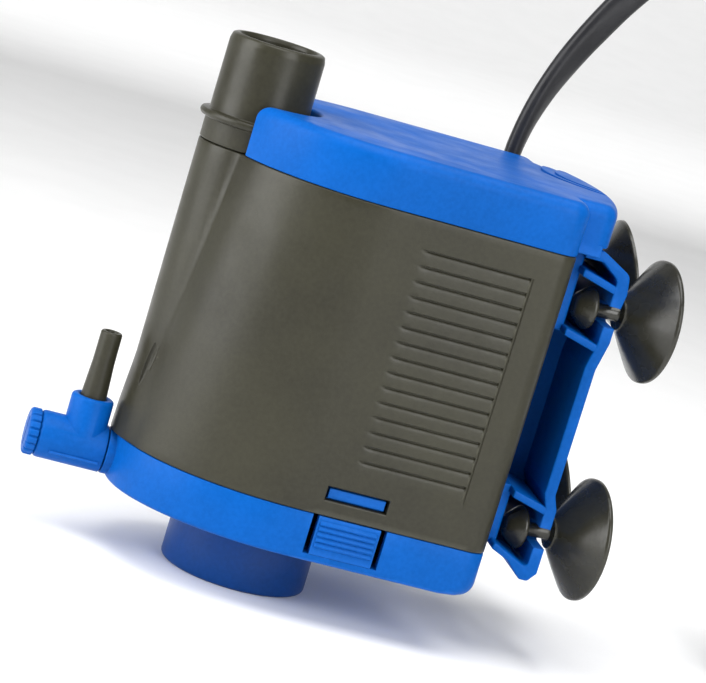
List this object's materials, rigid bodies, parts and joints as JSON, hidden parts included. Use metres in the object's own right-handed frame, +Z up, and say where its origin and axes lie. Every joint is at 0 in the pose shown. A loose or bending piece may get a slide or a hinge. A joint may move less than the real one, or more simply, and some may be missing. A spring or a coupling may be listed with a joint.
{
  "type": "aquarium wave maker pump",
  "caption": "Submersible aquarium pump with intake spigot, outlet nozzle, air-injection side tube, snap base, slide-on bracket with suction cups and flat cord.",
  "frame": {"origin": "centre of the intake spigot's lower rim, which the pump stands on", "axes": "+Z up along the intake and rotor axis, +X towards the bracket and suction cups, -X towards the nozzle and the air-injection tube"},
  "size_m": [0.2787, 0.0871, 0.157],
  "materials": {
    "body_plastic": "satin moulded plastic with soft vertical highlights",
    "blue_plastic": "satin moulded plastic, fine mould texture",
    "navy_plastic": "satin moulded plastic",
    "black_plastic": "matte moulded plastic",
    "white_plastic": "matte moulded nylon",
    "cup_rubber": "soft black rubber, slightly glossy",
    "seal_rubber": "matte rubber",
    "cord_rubber": "matte flexible cord jacket",
    "magnet_ferrite": "ground ferrite",
    "shaft_ceramic": "polished ceramic",
    "core_steel": "laminated electrical steel",
    "winding_copper": "enamelled copper wire",
    "fuse_metal": "plain metal can",
    "potting_resin": "cast resin",
    "plug_metal": "nickel-plated brass"
  },
  "bodies": {
    "pump_body": {"motor_housing": "body_plastic", "top_cap": "blue_plastic", "base_cover": "blue_plastic", "base_seal": "seal_rubber", "rotor_can": "black_plastic", "rotor_shaft": "shaft_ceramic", "lower_bush": "seal_rubber", "upper_bush": "seal_rubber", "stator_core": "core_steel", "bobbin_near": "white_plastic", "bobbin_far": "white_plastic", "winding_near": "winding_copper", "winding_far": "winding_copper", "thermal_fuse": "fuse_metal", "wire_splices": "fuse_metal", "potting_layer": "potting_resin", "cord_gland": "seal_rubber", "cord": "cord_rubber", "cord_coil": "cord_rubber", "cord_tail": "cord_rubber", "coil_tie": "white_plastic", "plug_body": "black_plastic", "plug_blades": "plug_metal"},
    "rotor": {"rotor_magnet": "magnet_ferrite", "impeller": "white_plastic"},
    "latch": {"base_latch": "blue_plastic"},
    "intake": {"intake_spigot": "navy_plastic", "intake_strainer": "black_plastic"},
    "nozzle": {"outlet_nozzle": "body_plastic"},
    "air_inlet": {"venturi_tube": "blue_plastic", "air_nipple": "body_plastic"},
    "air_regulator": {"regulator_knob": "blue_plastic"},
    "bracket": {"bracket": "blue_plastic"},
    "cup_near_top": {"suction_cup_near_top": "cup_rubber"},
    "cup_near_bottom": {"suction_cup_near_bottom": "cup_rubber"},
    "cup_far_top": {"suction_cup_far_top": "cup_rubber"},
    "cup_far_bottom": {"suction_cup_far_bottom": "cup_rubber"}
  },
  "joints": [
    {"name": "rotor_spin", "type": "hinge", "parent": "pump_body", "child": "rotor", "pos_m": [0, 0, 0.04], "axis": [0, 0, 1], "continuous": true},
    {"name": "latch_flex", "type": "hinge", "parent": "pump_body", "child": "latch", "pos_m": [0.0144, -0.0295, 0.0153], "axis": [-1, 0, 0], "range_deg": [0, 7], "stiffness_Nm_per_rad": 0.05, "springref_deg": -1.15},
    {"name": "intake_turn", "type": "hinge", "parent": "pump_body", "child": "intake", "pos_m": [0, 0, 0.01], "axis": [0, 0, 1], "range_deg": [0, 45]},
    {"name": "nozzle_lift", "type": "slide", "parent": "pump_body", "child": "nozzle", "axis": [0, 0, 1], "range_m": [0, 0.006]},
    {"name": "air_inlet_swivel", "type": "hinge", "parent": "pump_body", "child": "air_inlet", "pos_m": [-0.036, 0, 0.0187], "axis": [1, 0, 0], "range_deg": [-90, 90]},
    {"name": "air_regulator_turn", "type": "hinge", "parent": "air_inlet", "child": "air_regulator", "pos_m": [-0.048, 0, 0.0187], "axis": [1, 0, 0], "range_deg": [0, 270]},
    {"name": "bracket_slide", "type": "slide", "parent": "pump_body", "child": "bracket", "axis": [0, 0, -1], "range_m": [0, 0.045]},
    {"name": "cup_near_top_swing", "type": "hinge", "parent": "bracket", "child": "cup_near_top", "pos_m": [0.05615, -0.0145, 0.0757], "axis": [0, 0, 1], "range_deg": [-18, 1]},
    {"name": "cup_near_bottom_swing", "type": "hinge", "parent": "bracket", "child": "cup_near_bottom", "pos_m": [0.05615, -0.0145, 0.0277], "axis": [0, 0, 1], "range_deg": [-18, 1]},
    {"name": "cup_far_top_swing", "type": "hinge", "parent": "bracket", "child": "cup_far_top", "pos_m": [0.05615, 0.0145, 0.0757], "axis": [0, 0, 1], "range_deg": [-1, 12]},
    {"name": "cup_far_bottom_swing", "type": "hinge", "parent": "bracket", "child": "cup_far_bottom", "pos_m": [0.05615, 0.0145, 0.0277], "axis": [0, 0, 1], "range_deg": [-1, 12]}
  ]
}
